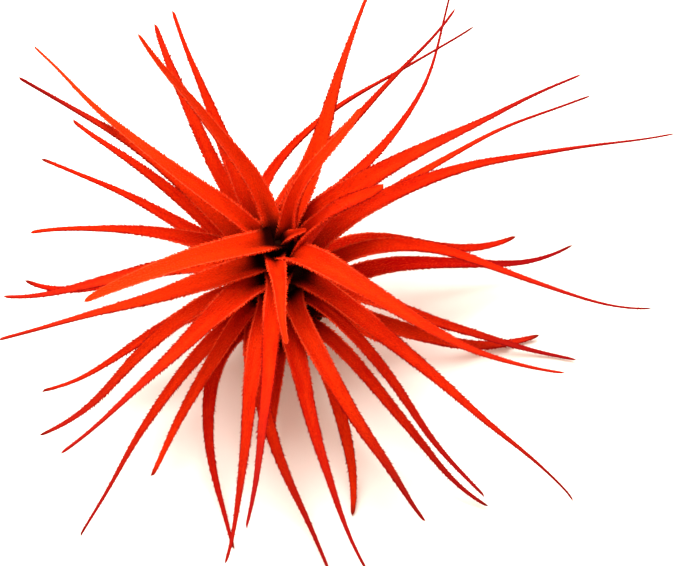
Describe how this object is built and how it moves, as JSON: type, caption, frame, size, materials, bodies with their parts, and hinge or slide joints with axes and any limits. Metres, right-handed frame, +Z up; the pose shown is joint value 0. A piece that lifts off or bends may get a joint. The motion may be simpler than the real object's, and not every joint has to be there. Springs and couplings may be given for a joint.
{
  "type": "tufted air plant",
  "caption": "Red-leaved tufted air plant: narrow channelled leaves fan out in a rosette from a short thick stem, as picked, resting on a surface.",
  "frame": {"origin": "middle of the flat rest spot under the stem", "axes": "+Z up along the stem, -Y towards the viewer of the picture, +X to that viewer's right"},
  "size_m": [0.1032, 0.0954, 0.0699],
  "materials": {
    "leaf": "velvety red leaf",
    "stem": "dry brown stem and leaf bases"
  },
  "bodies": {
    "root": {"stem": "stem", "leaf_01": "leaf", "leaf_02": "leaf", "leaf_03": "leaf", "leaf_04": "leaf", "leaf_05": "leaf", "leaf_06": "leaf", "leaf_07": "leaf", "leaf_08": "leaf", "leaf_09": "leaf", "leaf_10": "leaf", "leaf_11": "leaf", "leaf_12": "leaf", "leaf_13": "leaf", "leaf_14": "leaf", "leaf_15": "leaf", "leaf_16": "leaf", "leaf_17": "leaf", "leaf_18": "leaf", "leaf_19": "leaf", "leaf_20": "leaf", "leaf_21": "leaf", "leaf_22": "leaf", "leaf_23": "leaf", "leaf_24": "leaf", "leaf_25": "leaf", "leaf_26": "leaf", "leaf_27": "leaf", "leaf_28": "leaf", "leaf_29": "leaf", "leaf_30": "leaf", "leaf_31": "leaf", "leaf_32": "leaf", "leaf_33": "leaf", "leaf_34": "leaf", "leaf_35": "leaf", "leaf_36": "leaf", "leaf_37": "leaf", "leaf_38": "leaf", "leaf_39": "leaf", "leaf_40": "leaf", "leaf_41": "leaf", "leaf_42": "leaf", "leaf_43": "leaf", "leaf_44": "leaf", "leaf_45": "leaf", "leaf_46": "leaf", "leaf_47": "leaf", "leaf_48": "leaf", "leaf_49": "leaf", "leaf_50": "leaf", "leaf_51": "leaf", "leaf_52": "leaf"}
  },
  "joints": []
}
